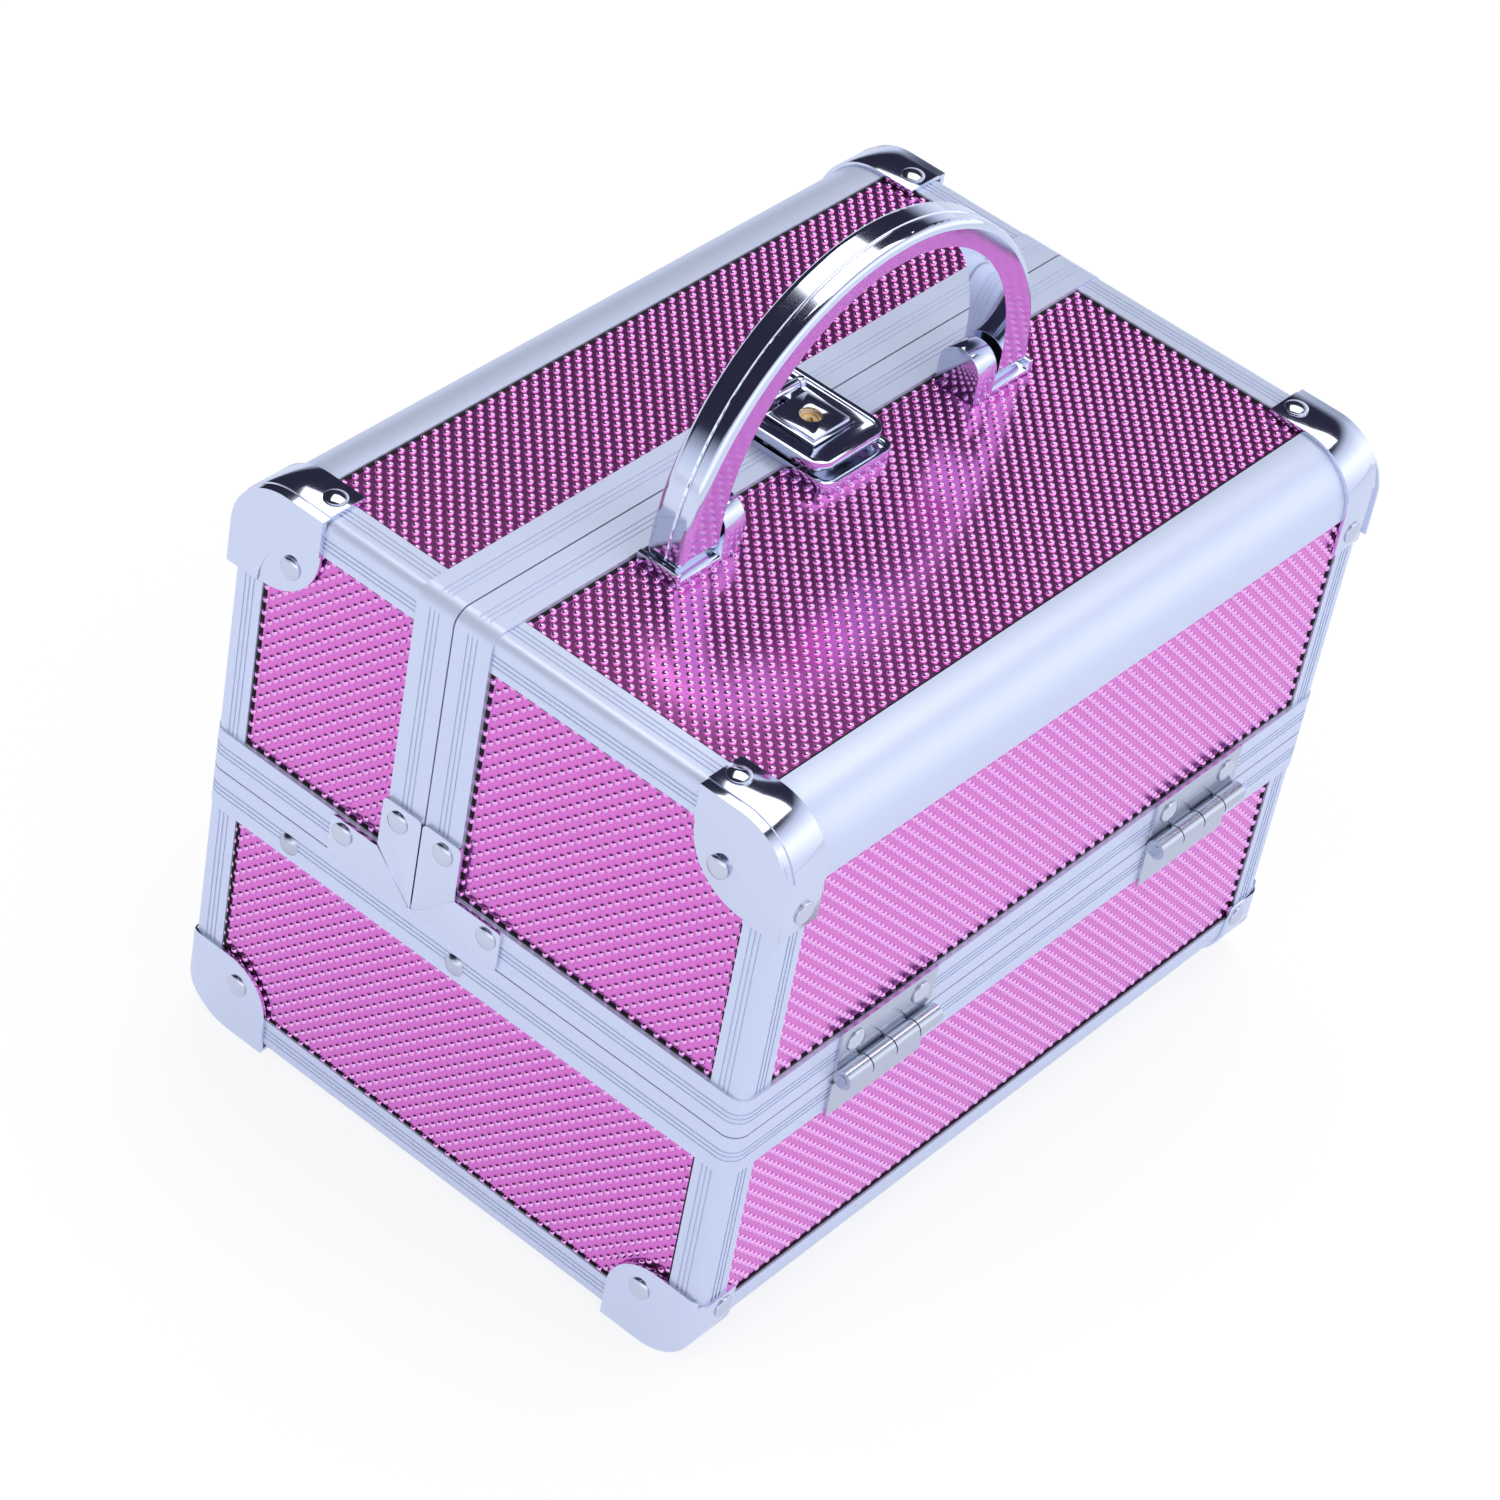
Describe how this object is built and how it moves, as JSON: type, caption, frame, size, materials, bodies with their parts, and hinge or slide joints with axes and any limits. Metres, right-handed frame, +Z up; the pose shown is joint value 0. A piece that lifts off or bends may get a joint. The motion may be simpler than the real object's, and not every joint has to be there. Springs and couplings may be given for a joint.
{
  "type": "train case",
  "caption": "Boxy travel train case with a split hinged lid over a base, metal edging and corner caps, a swinging arched top handle, a lock flap and a cantilever tray inside.",
  "frame": {"origin": "Centre of the case's footprint, on the ground plane that the bottom corner caps stand on.", "axes": "+Z up. X runs along the case's length, along both hinge lines and from one handle lug to the other. +Y points from the front lid (the deeper lid, which carries the handle) to the rear lid."},
  "size_m": [0.204, 0.1598, 0.2086],
  "materials": {
    "panel_skin": "embossed pearl-dot laminate, glossy, orchid pink with dark dots",
    "underside": "smooth black bottom sheet",
    "lining": "thin pressed black foam lining",
    "extrusion": "satin extruded aluminium with fine ribs",
    "chrome": "bright chromium plating",
    "steel": "bright zinc plating",
    "brass": "turned brass",
    "tray": "moulded black plastic",
    "mirror": "silvered acrylic"
  },
  "bodies": {
    "base": {"base_front_panel": "panel_skin", "base_rear_panel": "panel_skin", "base_end_panels": "panel_skin", "base_floor": "underside", "base_rim": "extrusion", "base_posts": "extrusion", "base_long_edges": "extrusion", "base_end_edges": "extrusion", "base_corner_caps": "chrome", "base_rivets": "steel", "base_lining": "lining", "base_hinge_leaves": "steel", "hinge_pins": "steel", "arm_pivots": "steel"},
    "front_lid": {"front_lid_top_panel": "panel_skin", "front_lid_long_panel": "panel_skin", "front_lid_end_panels": "panel_skin", "front_lid_round_edge": "extrusion", "front_lid_end_edges": "extrusion", "front_lid_posts": "extrusion", "front_lid_rim": "extrusion", "front_lid_arch_band": "extrusion", "front_lid_brackets": "chrome", "front_lid_corner_caps": "chrome", "front_lid_rivets": "steel", "front_lid_lining": "lining", "front_lid_hinge_leaves": "steel", "tray_link_studs": "steel", "handle_lugs": "chrome", "handle_pins": "steel", "latch_catch": "chrome"},
    "rear_lid": {"rear_lid_top_panel": "panel_skin", "rear_lid_long_panel": "panel_skin", "rear_lid_end_panels": "panel_skin", "rear_lid_round_edge": "extrusion", "rear_lid_end_edges": "extrusion", "rear_lid_posts": "extrusion", "rear_lid_rim": "extrusion", "rear_lid_arch_band": "extrusion", "rear_lid_brackets": "chrome", "rear_lid_corner_caps": "chrome", "rear_lid_rivets": "steel", "rear_lid_lining": "lining", "rear_lid_hinge_leaves": "steel", "latch_plate": "chrome", "latch_flap_pin": "steel", "mirror_glass": "mirror"},
    "front_arm_pair": {"front_arms": "steel"},
    "rear_arm_pair": {"rear_arms": "steel"},
    "tray_body": {"tray": "tray", "tray_hangers": "steel", "tray_pivots": "steel", "tray_dividers": "tray"},
    "handle_body": {"handle": "chrome"},
    "flap_body": {"latch_flap": "chrome", "latch_hook": "steel"},
    "lock_cylinder": {"key_cylinder": "brass"}
  },
  "joints": [
    {"name": "front_lid_hinge", "type": "hinge", "parent": "base", "child": "front_lid", "pos_m": [0, -0.0776, 0.0694], "axis": [1, 0, 0], "range_deg": [0, 95]},
    {"name": "rear_lid_hinge", "type": "hinge", "parent": "base", "child": "rear_lid", "pos_m": [0, 0.0776, 0.0694], "axis": [1, 0, 0], "range_deg": [-95, 0]},
    {"name": "front_arm_pivot", "type": "hinge", "parent": "base", "child": "front_arm_pair", "pos_m": [0, 0.0017, 0.0628], "axis": [1, 0, 0], "range_deg": [0, 95]},
    {"name": "rear_arm_pivot", "type": "hinge", "parent": "base", "child": "rear_arm_pair", "pos_m": [0, 0.0499, 0.0628], "axis": [1, 0, 0], "range_deg": [0, 95]},
    {"name": "tray_pivot", "type": "hinge", "parent": "front_arm_pair", "child": "tray_body", "pos_m": [0, 0.0152, 0.0928], "axis": [1, 0, 0], "range_deg": [-95, 0]},
    {"name": "handle_swing", "type": "hinge", "parent": "front_lid", "child": "handle_body", "pos_m": [0, -0.0022, 0.1554], "axis": [1, 0, 0], "range_deg": [-88, 88]},
    {"name": "latch_flap_hinge", "type": "hinge", "parent": "rear_lid", "child": "flap_body", "pos_m": [0, 0.0169, 0.155], "axis": [-1, 0, 0], "range_deg": [0, 75]},
    {"name": "key_turn", "type": "hinge", "parent": "flap_body", "child": "lock_cylinder", "pos_m": [0, 0.0073, 0.155], "axis": [0, 0, 1], "range_deg": [0, 90]}
  ],
  "couplings": [
    {"joint": "rear_lid_hinge", "follows": "front_lid_hinge", "ratio": -1},
    {"joint": "front_arm_pivot", "follows": "front_lid_hinge", "ratio": 1},
    {"joint": "rear_arm_pivot", "follows": "front_lid_hinge", "ratio": 1},
    {"joint": "tray_pivot", "follows": "front_lid_hinge", "ratio": -1}
  ]
}
